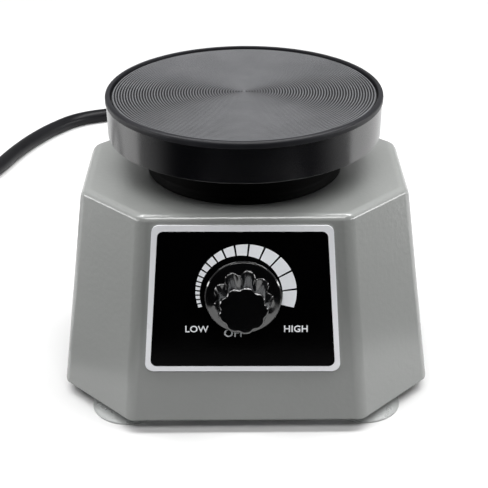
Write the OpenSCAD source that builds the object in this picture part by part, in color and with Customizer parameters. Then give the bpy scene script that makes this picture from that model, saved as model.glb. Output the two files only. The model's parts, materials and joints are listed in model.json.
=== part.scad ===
// Small mains-powered plate vibrator, the bench kind of vortex mixer with a wide ribbed plate.
// Millimetres, +Z up. The control panel faces -Y. Z = 0 is the table that the feet stand on.

/* [Housing] */
// Width across the side faces at the lower rim
base_w = 138.5; // [132:0.5:142]
// Depth from the front face to the rear face at the lower rim
base_d = 111; // [108:1:114]
// Cut-off of each vertical corner at the lower rim
base_cut = 26.75; // [24:0.25:28]
// Width across the side faces at the roof
roof_w = 118; // [112:1:120]
// Depth from the front face to the rear face at the roof
roof_d = 89; // [87:1:92]
// Cut-off of each vertical corner at the roof
roof_cut = 23; // [20:1:24]
// Height of the housing from rim to roof
body_h = 78; // [76:1:80]
// Wall thickness of the casting
wall = 4; // [3.5:0.25:4.5]
// Clearance between the table and the housing's rim
foot_h = 5; // [4.5:0.5:6]
// Thickness of the steel bottom plate
floor_t = 3; // [2.5:0.5:3]

/* [Plate] */
// Diameter of the vibrating plate
plate_dia = 101; // [98:1:102]
// Height of the plate's upper lip above the table
plate_top = 112.5; // [111:0.5:113]
// Height of the glossy skirt, lip included
skirt_h = 15; // [14:0.5:16]
// Radius of the black collar under the plate
collar_r = 36; // [35:0.5:37]
// Thickness of the ribbed rubber pad at its lip
pad_t = 2.4; // [2.2:0.1:2.6]
// Radius of the round opening in the roof
roof_hole_r = 30; // [29:0.5:30]

/* [Control panel] */
// Sideways offset of the knob, the label and the board behind them from the middle of the front face
panel_x = -0.8; // [-1:0.1:0]
// Height of the knob's axis along the front face, from the rim
knob_up = 49.5; // [48:0.5:51]
// Diameter of the knob's skirt
knob_dia = 27; // [26:0.5:28]
// Height of the knob above the front face
knob_h = 15; // [14:0.5:16]
// Radius of the pot shaft
shaft_r = 3; // [3:0.1:3.2]
// Label: height of its lower edge along the front face
label_low = 20.4; // [19:0.2:21]
// Label: height of its upper edge along the front face
label_high = 75.4; // [75:0.2:75.6]
// Label: width of its lower edge
label_low_w = 70; // [68:0.5:71]
// Label: width of its upper edge
label_high_w = 62.4; // [60:0.2:63]

/* [Magnet] */
// Width of the E-shaped core
core_w = 54; // [48:3:54]
// Stack depth of the laminations
core_d = 30; // [28:1:30]
// Height of the E-shaped core
core_h = 36; // [34:1:36]
// Air gap between the core's poles and the armature
air_gap = 1.5; // [1.2:0.1:1.8]

/* [Feet and cord] */
// Suction cup positions from the plate's axis, sideways
foot_x = 44; // [42:0.5:44.5]
// Suction cup positions from the plate's axis, front to back
foot_y = 36.5; // [33:0.5:37]
// Radius of the suction cup's rim
foot_r = 14; // [13.5:0.5:14]
// Diameter of the mains cord
cord_dia = 7.5; // [7:0.25:8]

/* [Hidden] */
$fn = 96;
FAR = 400;

// Heights above the table
rim_z = foot_h;
floor_z = rim_z + floor_t;
roof_z = rim_z + body_h;
ceiling_z = roof_z - wall;
skirt_z = plate_top - skirt_h;

// Lean of the faces
front_lean = atan((base_d - roof_d) / 2 / body_h);
base_diag = (base_w + base_d - 2 * base_cut) / 2 / sqrt(2);
roof_diag = (roof_w + roof_d - 2 * roof_cut) / 2 / sqrt(2);

// The knob's tip is the front-most point and the rear rim is the rear-most one:
// the plate's axis stands so far behind the origin that the origin is midway between them.
grip_base_r = 10.2;
grip_tip_r = 8.4;
knob_z = rim_z + knob_up * cos(front_lean);
face_y = -base_d / 2 + knob_up * sin(front_lean);
tip_y = face_y - knob_h * cos(front_lean) - grip_tip_r * sin(front_lean);
axis_y = -(tip_y + base_d / 2) / 2;

// Plate stack, from the top down
pad_lip = 1.8;
pad_recess = 0.8;
pad_z = plate_top - pad_t;
cap_t = 3;
cap_z = pad_z - cap_t;
hub_flange_t = 4;
hub_flange_z = cap_z - hub_flange_t;
hub_flange_r = 28;
stem_r = 12;

// Magnet and suspension stack, from the bottom up
bracket_t = 3;
core_z = floor_z + bracket_t;
leg_w = core_w / 6;
pole_z = core_z + core_h;
armature_z = pole_z + air_gap;
armature_t = 9;
spacer_z = armature_z + armature_t;
spacer_t = 3.5;
spring_z = spacer_z + spacer_t;
spring_t = 1;
spring_w = 12;
spring_y = 10.5;
post_x = 41;
post_r = 5;
clamp_t = 2;
hub_foot_t = 5;
hub_w = 24;
hub_d = 36;
hub_screw_x = 7;
m4_r = 2;
m3_r = 1.5;
head_h = 2.4;

// Panel stack, measured out from the front face
label_t = 0.6;
label_corner = 2.6;
washer_t = 0.5;
nut_t = 2.2;
bush_r = 3.5;
fit_gap = 0.05;
knob_gap = 0.6;
knob_z0 = label_t + knob_gap;
knob_skirt_h = 3;
shaft_top = 12.5;
pot_depth = 11;
pot_r = 8;
board_t = 1.6;
board_z = -wall - pot_depth;
board_w = 68;
board_low = -22;
board_high = 16;
standoff_x = 31;
standoff_y = -18;

// Cord: points along its middle, from inside the housing to the coil, seen from the plate's axis
cord_r = cord_dia / 2;
gland_up = 15;
entry_points = [
    [0, 45, 18.8], [0, 60, 20.9], [0, 78, 23.5], [0, 92, 25.3], [0, 104, 26.2], [0, 118, 25.4],
    [0, 132, 22.4], [0, 146, 17.4], [0, 158, 12], [0, 170, 7.4], [0, 182, 4.7], [-2, 194, 3.8],
    [-5, 212, 3.8], [-14, 230, 3.8], [-28, 243.5, 3.8], [-46, 252.5, 3.8], [-66, 256, 3.8],
    [-85, 252.5, 3.8], [-99, 245.3, 3.8], [-109.5, 233, 3.8], [-118.5, 217.5, 3.8],
    [-126, 199.5, 3.8], [-132, 180, 3.8], [-137, 165.5, 3.8], [-142, 151, 3.8], [-146.8, 138, 3.8],
    [-151.5, 125, 3.8]
];
tail_points = [
    [-158.3, 111, 11.3], [-165, 101.5, 11.5], [-172, 91.6, 12], [-179.4, 82, 12.5], [-187, 72.3, 12.5]
];
coil_x = -198;
coil_y = 139;
coil_mid_r = 41.2;
coil_half_w = 11.7;
coil_h = 15.1;
plug_x = -187;
plug_y = 72.3;
plug_z = 12.5;
plug_turn = 232;

// ---------- general shapes ----------

// Everything is designed about the plate's axis, then moved so the origin is in its place.
module place() {
    translate([0, axis_y, 0]) children();
}

// A slab with two opposite leaning sides, r0 from the middle at z = 0 and r1 at z = h
module leaning_slab(r0, r1, h, turn) {
    rotate([0, 0, turn]) rotate([90, 0, 0])
        translate([0, 0, -FAR / 2]) linear_extrude(FAR)
            polygon([[-r0, 0], [r0, 0], [r1, h], [-r1, h]]);
}

// Half-width of a leaning side at height z above the rim
function lean_at(r0, r1, z) = r0 + (r1 - r0) * z / body_h;

// The eight-sided tapering block, shrunk by inset on all sides, between heights z0 and z1
module tapered_block(inset, z0, z1) {
    function side(r0, r1, z) = lean_at(r0, r1, z) - inset;
    h = z1 - z0;
    translate([0, 0, z0]) intersection() {
        leaning_slab(side(base_w / 2, roof_w / 2, z0), side(base_w / 2, roof_w / 2, z1), h, 0);
        leaning_slab(side(base_d / 2, roof_d / 2, z0), side(base_d / 2, roof_d / 2, z1), h, 90);
        leaning_slab(side(base_diag, roof_diag, z0), side(base_diag, roof_diag, z1), h, 45);
        leaning_slab(side(base_diag, roof_diag, z0), side(base_diag, roof_diag, z1), h, -45);
    }
}

// Local frame on the front face: +Z points out of the face, +Y runs up it, origin on the knob axis
module on_face() {
    translate([panel_x, face_y, knob_z]) rotate([90 - front_lean, 0, 0]) children();
}

// Local frame on the rear face at the cord entry: +Z points out of the face
module on_rear() {
    translate([0, base_d / 2 - gland_up * tan(front_lean), rim_z + gland_up])
        rotate([-90 + front_lean, 0, 0]) children();
}

module rounded_box(size, r) {
    translate([r, r, 0]) linear_extrude(size[2]) hull() {
        for (x = [0, size[0] - 2 * r], y = [0, size[1] - 2 * r]) translate([x, y]) circle(r, $fn = 24);
    }
}

module box_at(low, high) {
    translate(low) cube(high - low);
}

// A pan-head screw: shank down from z = 0, head above it
module screw(r, length) {
    translate([0, 0, -length]) cylinder(r = r, h = length);
    difference() {
        cylinder(r = 1.9 * r, h = head_h);
        translate([0, 0, head_h - 1]) box_at([-1.6 * r, -0.5, 0], [1.6 * r, 0.5, 2]);
    }
}

module four_corners(x, y) {
    for (sx = [-1, 1], sy = [-1, 1]) translate([sx * x, sy * y, 0]) children();
}

// ---------- housing ----------

boss_r = 5;
boss_h = 12;
boss_spots = [[-60, 0], [60, 0], [-18, -47], [18, -47], [-18, 47], [18, 47]];
pilot_r = 1.5;

module at_bosses() {
    for (p = boss_spots) translate([p[0], p[1], 0]) children();
}

module housing() {
    color([0.52, 0.53, 0.52]) place() translate([0, 0, rim_z]) difference() {
        tapered_block(0, 0, body_h);
        difference() {
            tapered_block(wall, -1, body_h - wall);
            at_bosses() translate([0, 0, floor_t]) cylinder(r = boss_r, h = boss_h);
        }
        translate([0, 0, body_h - wall - 1]) cylinder(r = roof_hole_r, h = wall + 2);
        at_bosses() translate([0, 0, floor_t - 1]) cylinder(r = pilot_r, h = boss_h - 1);
        translate([0, 0, -rim_z]) on_face() {
            translate([0, 0, -2 * wall]) cylinder(r = bush_r + 0.1, h = 4 * wall);
            for (s = [-1, 1]) translate([s * standoff_x, standoff_y, -wall - 0.1])
                cylinder(r = 1.25, h = 2.6);
        }
        translate([0, 0, -rim_z]) on_rear() translate([0, 0, -2 * wall]) cylinder(r = 6, h = 4 * wall);
    }
}

floor_inset = wall + 0.2;

module base_plate() {
    color([0.6, 0.6, 0.62]) place() difference() {
        translate([0, 0, rim_z]) tapered_block(floor_inset, 0, floor_t);
        at_bosses() translate([0, 0, rim_z - 1]) cylinder(r = 1.7, h = floor_t + 2);
        four_corners(foot_x, foot_y) translate([0, 0, rim_z - 1]) cylinder(r = m4_r + 0.1, h = floor_t + 2);
        four_corners(bracket_screw_x, bracket_screw_y) translate([0, 0, rim_z - 1])
            cylinder(r = m4_r + 0.1, h = floor_t + 2);
        four_corners(post_x, spring_y) translate([0, 0, rim_z - 1]) cylinder(r = m4_r + 0.1, h = floor_t + 2);
        translate([lug_x, lug_y, rim_z - 1]) cylinder(r = m4_r + 0.1, h = floor_t + 2);
    }
}

module base_screws() {
    color([0.75, 0.75, 0.77]) place() at_bosses()
        translate([0, 0, rim_z]) mirror([0, 0, 1]) screw(m3_r, floor_t + 8);
}

cup_screw_top = 2.5;

module suction_foot(x, y) {
    color([0.85, 0.88, 0.9, 0.5]) place() translate([x, y, 0]) difference() {
        rotate_extrude() polygon([
            [0, rim_z], [5, rim_z], [5.2, rim_z - 1.2], [8, rim_z - 2.4], [foot_r - 2.5, 1.6],
            [foot_r, 0.7], [foot_r, 0], [foot_r - 1.4, 0], [8, 1.2], [0, 1.8]
        ]);
        translate([0, 0, cup_screw_top]) cylinder(r = m4_r, h = rim_z);
    }
}

module front_left_foot() { suction_foot(-foot_x, -foot_y); }
module front_right_foot() { suction_foot(foot_x, -foot_y); }
module rear_left_foot() { suction_foot(-foot_x, foot_y); }
module rear_right_foot() { suction_foot(foot_x, foot_y); }

module foot_screws() {
    color([0.75, 0.75, 0.77]) place() four_corners(foot_x, foot_y)
        translate([0, 0, floor_z]) screw(m4_r, floor_z - cup_screw_top - 0.2);
}

module dial_label() {
    h = label_high - label_low;
    r = label_corner;
    function half(y) = label_low_w / 2 + (label_high_w - label_low_w) / 2 * (y - label_low) / h;
    color([0.05, 0.05, 0.05]) place() on_face() difference() {
        translate([0, -knob_up, 0]) linear_extrude(label_t) hull()
            for (s = [-1, 1], y = [label_low + r, label_high - r])
                translate([s * (half(y) - r), y]) circle(r, $fn = 32);
        translate([0, 0, -1]) cylinder(r = bush_r + 0.1, h = 3);
    }
}

module neck_collar() {
    color([0.05, 0.05, 0.05]) place() rotate_extrude() polygon([
        [roof_hole_r - 2.6, ceiling_z - 2.5], [roof_hole_r + 3, ceiling_z - 2.5],
        [roof_hole_r + 3, ceiling_z], [roof_hole_r - 0.05, ceiling_z], [roof_hole_r - 0.05, roof_z],
        [collar_r, roof_z], [collar_r, roof_z + 2], [collar_r - 1, roof_z + 3.5],
        [collar_r - 1, skirt_z + 1], [collar_r - 2, skirt_z + 4], [roof_hole_r + 1, skirt_z + 4],
        [roof_hole_r + 1, roof_z + 2.5], [roof_hole_r - 2.6, roof_z + 2.5]
    ]);
}

// ---------- magnet ----------

ear_h = 8.6;
bolt_x = 20;
bolt_up = 4.5;
bracket_w = 66;
bracket_screw_x = 29;
bracket_screw_y = 22;

module magnet_bracket() {
    color([0.65, 0.66, 0.68]) place() difference() {
        union() {
            box_at([-bracket_w / 2, -27, floor_z], [bracket_w / 2, 27, core_z]);
            for (s = [-1, 1]) box_at([-core_w / 2, s * (core_d / 2 + 1.5) - 1.5, floor_z],
                                     [core_w / 2, s * (core_d / 2 + 1.5) + 1.5, core_z + ear_h]);
        }
        four_corners(bracket_screw_x, bracket_screw_y) translate([0, 0, floor_z - 1])
            cylinder(r = m4_r, h = bracket_t + 2);
        for (x = [-bolt_x, bolt_x]) translate([x, 0, core_z + bolt_up]) rotate([90, 0, 0])
            cylinder(r = m4_r + 0.1, h = 60, center = true);
    }
}

module bracket_screws() {
    color([0.75, 0.75, 0.77]) place() four_corners(bracket_screw_x, bracket_screw_y)
        translate([0, 0, rim_z]) mirror([0, 0, 1]) screw(m4_r, floor_t + bracket_t);
}

module magnet_core() {
    color([0.32, 0.33, 0.35]) place() difference() {
        box_at([-core_w / 2, -core_d / 2, core_z], [core_w / 2, core_d / 2, pole_z]);
        for (s = [-1, 1]) box_at([(s * 1.5 - 0.5) * leg_w, -core_d, core_z + leg_w],
                                 [(s * 1.5 + 0.5) * leg_w, core_d, pole_z + 1]);
        for (x = [-bolt_x, bolt_x]) translate([x, 0, core_z + bolt_up]) rotate([90, 0, 0])
            cylinder(r = m4_r + 0.1, h = 60, center = true);
    }
}

module core_bolts() {
    reach = core_d / 2 + 3;
    color([0.75, 0.75, 0.77]) place() for (x = [-bolt_x, bolt_x]) translate([x, 0, core_z + bolt_up]) {
        rotate([90, 0, 0]) cylinder(r = m4_r, h = 2 * reach + 4, center = true);
        rotate([90, 0, 0]) translate([0, 0, reach]) cylinder(r = 3.8, h = 2.8, $fn = 6);
        rotate([-90, 0, 0]) translate([0, 0, reach]) cylinder(r = 3.8, h = 2.8, $fn = 6);
    }
}

bobbin_gap = 0.2;
bobbin_t = 1;
bobbin_low = core_z + leg_w + 0.2;
bobbin_high = pole_z - 0.4;
flange_t = 1.2;
flange_x = 17.7;
flange_y = 24;
tube_x = leg_w + bobbin_gap + bobbin_t;
tube_y = core_d / 2 + bobbin_gap + bobbin_t;

module coil_bobbin() {
    color([0.9, 0.88, 0.8]) place() difference() {
        union() {
            box_at([-tube_x, -tube_y, bobbin_low], [tube_x, tube_y, bobbin_high]);
            for (z = [bobbin_low, bobbin_high - flange_t])
                box_at([-flange_x, -flange_y, z], [flange_x, flange_y, z + flange_t]);
        }
        box_at([-tube_x + bobbin_t, -tube_y + bobbin_t, bobbin_low - 1],
               [tube_x - bobbin_t, tube_y - bobbin_t, bobbin_high + 1]);
    }
}

module coil_winding() {
    low = bobbin_low + flange_t;
    high = bobbin_high - flange_t;
    color([0.72, 0.4, 0.2]) place() difference() {
        translate([-flange_x + 0.8, -flange_y + 0.8, low])
            rounded_box([2 * flange_x - 1.6, 2 * flange_y - 1.6, high - low], 4);
        box_at([-tube_x, -tube_y, low - 1], [tube_x, tube_y, high + 1]);
    }
}

// ---------- suspension ----------

module spring_posts() {
    color([0.7, 0.7, 0.72]) place() four_corners(post_x, spring_y) difference() {
        translate([0, 0, floor_z]) cylinder(r = post_r, h = spring_z - floor_z, $fn = 6);
        translate([0, 0, floor_z - 1]) cylinder(r = m4_r, h = 10);
        translate([0, 0, spring_z - 10]) cylinder(r = m4_r, h = 11);
    }
}

module post_screws() {
    color([0.75, 0.75, 0.77]) place() four_corners(post_x, spring_y)
        translate([0, 0, rim_z]) mirror([0, 0, 1]) screw(m4_r, floor_t + 8);
}

module leaf_spring(side) {
    color([0.55, 0.57, 0.62]) place() difference() {
        box_at([-post_x - 5, side * spring_y - spring_w / 2, spring_z],
               [post_x + 5, side * spring_y + spring_w / 2, spring_z + spring_t]);
        for (x = [-post_x, -hub_screw_x, hub_screw_x, post_x])
            translate([x, side * spring_y, spring_z - 1]) cylinder(r = m4_r + 0.1, h = spring_t + 2);
    }
}

module front_leaf_spring() { leaf_spring(-1); }
module rear_leaf_spring() { leaf_spring(1); }

module spring_clamps() {
    color([0.65, 0.66, 0.68]) place() for (s = [-1, 1]) difference() {
        box_at([s * post_x - 5, -spring_y - 6, spring_z + spring_t],
               [s * post_x + 5, spring_y + 6, spring_z + spring_t + clamp_t]);
        for (y = [-spring_y, spring_y]) translate([s * post_x, y, spring_z])
            cylinder(r = m4_r + 0.1, h = 10);
    }
}

module clamp_screws() {
    color([0.75, 0.75, 0.77]) place() four_corners(post_x, spring_y)
        translate([0, 0, spring_z + spring_t + clamp_t]) screw(m4_r, spring_t + clamp_t + 8);
}

// ---------- moving plate ----------

module hub_screw_holes(r, z0, h) {
    for (x = [-hub_screw_x, hub_screw_x], y = [-spring_y, spring_y])
        translate([x, y, z0]) cylinder(r = r, h = h);
}

module armature() {
    color([0.32, 0.33, 0.35]) place() difference() {
        box_at([-core_w / 2, -core_d / 2, armature_z], [core_w / 2, core_d / 2, spacer_z]);
        hub_screw_holes(m4_r + 0.1, armature_z - 1, armature_t + 2);
        hub_screw_holes(2 * m4_r, armature_z - 1, head_h + 1.4);
    }
}

module armature_spacer() {
    color([0.7, 0.7, 0.72]) place() difference() {
        box_at([-hub_w / 2, -hub_d / 2, spacer_z], [hub_w / 2, hub_d / 2, spring_z]);
        hub_screw_holes(m4_r + 0.1, spacer_z - 1, spacer_t + 2);
    }
}

hub_foot_z = spring_z + spring_t;
cap_screw_r = 20;

module hub() {
    color([0.78, 0.79, 0.8]) place() difference() {
        union() {
            box_at([-hub_w / 2, -hub_d / 2, hub_foot_z], [hub_w / 2, hub_d / 2, hub_foot_z + hub_foot_t]);
            translate([0, 0, hub_foot_z]) cylinder(r = stem_r, h = cap_z - hub_foot_z);
            translate([0, 0, hub_flange_z]) cylinder(r = hub_flange_r, h = hub_flange_t);
        }
        hub_screw_holes(m4_r, hub_foot_z - 1, hub_foot_t + 1);
        for (a = [45 : 90 : 315]) rotate([0, 0, a]) translate([cap_screw_r, 0, hub_flange_z - 1])
            cylinder(r = m4_r, h = hub_flange_t + 2);
    }
}

module hub_screws() {
    shank_z = armature_z + head_h + 0.4;
    color([0.75, 0.75, 0.77]) place()
        for (x = [-hub_screw_x, hub_screw_x], y = [-spring_y, spring_y])
            translate([x, y, shank_z]) mirror([0, 0, 1])
                screw(m4_r, hub_foot_z + hub_foot_t - 1 - shank_z);
}

module plate_cap() {
    r = plate_dia / 2;
    color([0.03, 0.03, 0.035]) place() difference() {
        rotate_extrude($fn = 180) polygon([
            [0, cap_z], [r - 4.4, cap_z], [r - 3.8, skirt_z], [r - 1.8, skirt_z], [r - 1, skirt_z + 0.8],
            [r - 0.3, pad_z], [0, pad_z]
        ]);
        for (a = [45 : 90 : 315]) rotate([0, 0, a]) translate([cap_screw_r, 0, 0]) {
            translate([0, 0, cap_z - 1]) cylinder(r = m4_r + 0.1, h = cap_t + 2);
            translate([0, 0, pad_z - 2.2]) cylinder(r1 = m4_r + 0.1, r2 = 2 * m4_r + 0.1, h = 2.21);
        }
    }
}

module cap_screws() {
    color([0.75, 0.75, 0.77]) place() for (a = [45 : 90 : 315])
        rotate([0, 0, a]) translate([cap_screw_r, 0, 0]) {
            translate([0, 0, hub_flange_z + 0.2]) cylinder(r = m4_r, h = pad_z - hub_flange_z - 0.4);
            translate([0, 0, pad_z - 2.2]) cylinder(r1 = m4_r, r2 = 2 * m4_r - 0.3, h = 2);
        }
}

rib_pitch = 1;
rib_h = 0.5;
rib_count = 46;

module rubber_pad() {
    r = plate_dia / 2;
    face_z = plate_top - pad_recess;
    ribs = [for (i = [0 : rib_count - 1]) each [
        [(i + 0.75) * rib_pitch, face_z], [(i + 1) * rib_pitch, face_z - rib_h],
        [(i + 1.25) * rib_pitch, face_z]
    ]];
    color([0.3, 0.3, 0.31]) place() rotate_extrude($fn = 180) polygon(concat(
        [[0, pad_z], [0, face_z]], ribs,
        [[r - pad_lip - 0.5, face_z], [r - pad_lip, face_z - rib_h], [r - pad_lip + 0.2, plate_top - 0.2],
         [r - pad_lip + 0.5, plate_top], [r - 1, plate_top], [r - 0.3, plate_top - 0.4],
         [r, plate_top - 1], [r, pad_z]]
    ));
}

// ---------- knob and potentiometer ----------

module pot_body() {
    color([0.25, 0.4, 0.3]) place() on_face() difference() {
        union() {
            translate([0, 0, board_z]) cylinder(r = pot_r, h = pot_depth);
            box_at([-6, board_low + 6, board_z], [6, -5, board_z + 3]);
        }
        translate([0, 0, board_z + 3]) cylinder(r = shaft_r + fit_gap, h = pot_depth);
    }
}

bush_top = label_t + washer_t + nut_t + 1;

module pot_bushing() {
    color([0.8, 0.65, 0.35]) place() on_face() difference() {
        translate([0, 0, -wall]) cylinder(r = bush_r, h = wall + bush_top);
        translate([0, 0, -wall - 1]) cylinder(r = shaft_r + fit_gap, h = wall + bush_top + 2);
    }
}

module pot_washer() {
    color([0.75, 0.75, 0.77]) place() on_face() difference() {
        translate([0, 0, label_t]) cylinder(r = 6, h = washer_t);
        translate([0, 0, label_t - 1]) cylinder(r = bush_r + 0.02, h = washer_t + 2);
    }
}

module pot_nut() {
    color([0.8, 0.65, 0.35]) place() on_face() difference() {
        translate([0, 0, label_t + washer_t]) cylinder(r = 5.8, h = nut_t, $fn = 6);
        translate([0, 0, label_t]) cylinder(r = bush_r + 0.02, h = nut_t + 2);
    }
}

module pot_shaft() {
    color([0.75, 0.75, 0.77]) place() on_face()
        translate([0, 0, board_z + 4]) cylinder(r = shaft_r, h = shaft_top - board_z - 4);
}

insert_r = 5;
insert_low = bush_top + 1.2;
knob_cavity_r = 7.6;
lobes = 9;
lobe_r = 3.2;
lobe_turn = 78;

module knob() {
    color([0.03, 0.03, 0.03]) place() on_face() difference() {
        union() {
            rotate_extrude() polygon([
                [0, knob_z0], [knob_dia / 2 - 0.3, knob_z0], [knob_dia / 2, knob_z0 + 0.4],
                [knob_dia / 2 - 0.4, knob_z0 + 1.4], [grip_base_r + 1, knob_z0 + knob_skirt_h],
                [0, knob_z0 + knob_skirt_h]
            ]);
            intersection() {
                rotate_extrude() polygon([
                    [0, knob_z0], [grip_base_r, knob_z0], [grip_tip_r, knob_h - 0.8],
                    [grip_tip_r - 0.8, knob_h], [0, knob_h]
                ]);
                union() {
                    translate([0, 0, knob_z0]) cylinder(r = grip_base_r - 2, h = knob_h);
                    for (i = [0 : lobes - 1]) rotate([0, 0, lobe_turn + 360 / lobes * i])
                        translate([grip_base_r - lobe_r, 0, knob_z0])
                            cylinder(r = lobe_r, h = knob_h, $fn = 32);
                }
            }
        }
        translate([0, 0, knob_z0 - 1]) cylinder(r = knob_cavity_r, h = insert_low - knob_z0 + 1);
        translate([0, 0, insert_low - 1]) cylinder(r = insert_r, h = shaft_top + 0.5 - insert_low + 1);
    }
}

module knob_insert() {
    color([0.8, 0.65, 0.35]) place() on_face() difference() {
        translate([0, 0, insert_low]) cylinder(r = insert_r, h = shaft_top - insert_low);
        translate([0, 0, insert_low - 1]) cylinder(r = shaft_r, h = shaft_top - insert_low + 2);
    }
}

// ---------- control board ----------

module control_board() {
    color([0.1, 0.35, 0.2]) place() on_face() difference() {
        box_at([-board_w / 2, board_low, board_z - board_t], [board_w / 2, board_high, board_z]);
        for (s = [-1, 1]) translate([s * standoff_x, standoff_y, board_z - board_t - 1])
            cylinder(r = m3_r + 0.1, h = board_t + 2);
    }
}

module board_standoffs() {
    color([0.8, 0.65, 0.35]) place() on_face() for (s = [-1, 1])
        translate([s * standoff_x, standoff_y, 0]) difference() {
            union() {
                translate([0, 0, board_z]) cylinder(r = 3.2, h = -board_z - wall, $fn = 6);
                translate([0, 0, -wall - 0.5]) cylinder(r = 1.25, h = 2.5);
            }
            translate([0, 0, board_z - 1]) cylinder(r = m3_r, h = 7);
        }
}

module board_screws() {
    color([0.75, 0.75, 0.77]) place() on_face() for (s = [-1, 1])
        translate([s * standoff_x, standoff_y, board_z - board_t]) mirror([0, 0, 1]) screw(m3_r, board_t + 5);
}

board_back = board_z - board_t;
triac_t = 4.4;
sink_plate_t = 1.6;

module triac() {
    color([0.08, 0.08, 0.08]) place() on_face()
        box_at([22, -8, board_back - triac_t], [32, 7, board_back]);
}

module heat_sink() {
    back = board_back - triac_t;
    color([0.8, 0.8, 0.82]) place() on_face() {
        box_at([20, -14, back - sink_plate_t], [34, 13, back]);
        for (x = [20 : 3.2 : 33]) box_at([x, -14, back - 5.5], [x + 1.2, 13, back - sink_plate_t]);
    }
}

module capacitor() {
    color([0.85, 0.65, 0.2]) place() on_face() box_at([-27, -4, board_z], [-12, 4, board_z + 9]);
}

module choke() {
    color([0.72, 0.4, 0.2]) place() on_face() translate([21, 2, board_z]) difference() {
        cylinder(r = 7.5, h = 6);
        translate([0, 0, 1]) cylinder(r = 3, h = 6);
    }
}

module resistors() {
    color([0.8, 0.7, 0.55]) place() on_face() for (y = [8, 12]) translate([-26, y, board_z + 1.6])
        rotate([0, 90, 0]) cylinder(r = 1.4, h = 9);
}

fuse_y = -19;
fuse_up = 5;

module fuse() {
    color([0.85, 0.9, 0.9, 0.6]) place() on_face() translate([-10, fuse_y, board_z + fuse_up])
        rotate([0, 90, 0]) cylinder(r = 2.6, h = 20);
}

module fuse_clips() {
    color([0.8, 0.65, 0.35]) place() on_face() for (x = [-10, 6]) difference() {
        box_at([x, fuse_y - 3, board_z], [x + 4, fuse_y + 3, board_z + fuse_up + 1]);
        translate([x - 1, fuse_y, board_z + fuse_up]) rotate([0, 90, 0]) cylinder(r = 2.6, h = 6);
    }
}

// ---------- mains entry ----------

block_x = -12;
block_y = 28;
block_hole_z = 5;
lug_x = 28;
lug_y = 36;

module terminal_block() {
    color([0.92, 0.92, 0.9]) place() difference() {
        box_at([block_x, block_y, floor_z], [block_x + 24, block_y + 12, floor_z + 14]);
        for (i = [0 : 2]) translate([block_x + 4 + 8 * i, block_y + 6, floor_z + 8])
            cylinder(r = m3_r + 0.1, h = 7);
        for (i = [0 : 2]) translate([block_x + 4 + 8 * i, block_y - 1, floor_z + block_hole_z])
            rotate([-90, 0, 0]) cylinder(r = 1.6, h = 14);
    }
}

module terminal_screws() {
    color([0.8, 0.65, 0.35]) place() for (i = [0 : 2])
        translate([block_x + 4 + 8 * i, block_y + 6, floor_z + 12.5]) difference() {
            translate([0, 0, -4]) cylinder(r = m3_r, h = 4);
            box_at([-3, -0.3, -0.8], [3, 0.3, 1]);
        }
}

module earth_lug() {
    color([0.8, 0.65, 0.35]) place() difference() {
        union() {
            translate([lug_x, lug_y, floor_z]) cylinder(r = 4.5, h = 1);
            box_at([lug_x - 10, lug_y - 2, floor_z], [lug_x, lug_y + 2, floor_z + 1]);
        }
        translate([lug_x, lug_y, floor_z - 1]) cylinder(r = m4_r + 0.1, h = 4);
    }
}

module earth_screw() {
    color([0.8, 0.65, 0.35]) place() translate([lug_x, lug_y, floor_z + 1]) screw(m4_r, floor_t + 1);
}

relief_len = 34;
relief_hole_r = 6;

module strain_relief() {
    color([0.05, 0.05, 0.05]) place() on_rear() difference() {
        rotate_extrude() polygon([
            [0, -wall - 3], [relief_hole_r, -wall - 3], [relief_hole_r, 0], [9, 0], [9, 2.5],
            [7, 3.5], [cord_r + 1.2, relief_len - 0.6], [cord_r + 0.6, relief_len], [0, relief_len]
        ]);
        translate([0, 0, -20]) cylinder(r = cord_r, h = relief_len + 40);
    }
}

module relief_clip() {
    color([0.9, 0.9, 0.88]) place() on_rear() difference() {
        translate([0, 0, -wall - 2.6]) cylinder(r = 8.5, h = 2.2);
        translate([0, 0, -wall - 5]) cylinder(r = relief_hole_r, h = 8);
        box_at([-3, -12, -wall - 5], [3, -5, 0]);
    }
}

// ---------- cord ----------

function unit(v) = v / norm(v);
function heading(p, i) =
    unit(p[min(i + 1, len(p) - 1)] - p[max(i - 1, 0)]);
function sideways(d) = unit(cross(d, [0, 0, 1]));

// One closed tube with a ring of points around each point of the route
module swept_tube(p, r, sides) {
    n = len(p);
    points = [for (i = [0 : n - 1]) let (d = heading(p, i), u = sideways(d), w = cross(u, d))
        for (k = [0 : sides - 1]) p[i] + r * (cos(360 * k / sides) * u + sin(360 * k / sides) * w)];
    walls = [for (i = [0 : n - 2], k = [0 : sides - 1]) let (m = (k + 1) % sides)
        [i * sides + k, i * sides + m, (i + 1) * sides + m, (i + 1) * sides + k]];
    ends = [[for (k = [sides - 1 : -1 : 0]) k], [for (k = [0 : sides - 1]) (n - 1) * sides + k]];
    polyhedron(points = points, faces = concat(walls, ends));
}

module cord() {
    color([0.04, 0.04, 0.04]) place() swept_tube(entry_points, cord_r, 12);
}

module cord_tail() {
    color([0.04, 0.04, 0.04]) place() swept_tube(tail_points, cord_r, 12);
}

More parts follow.
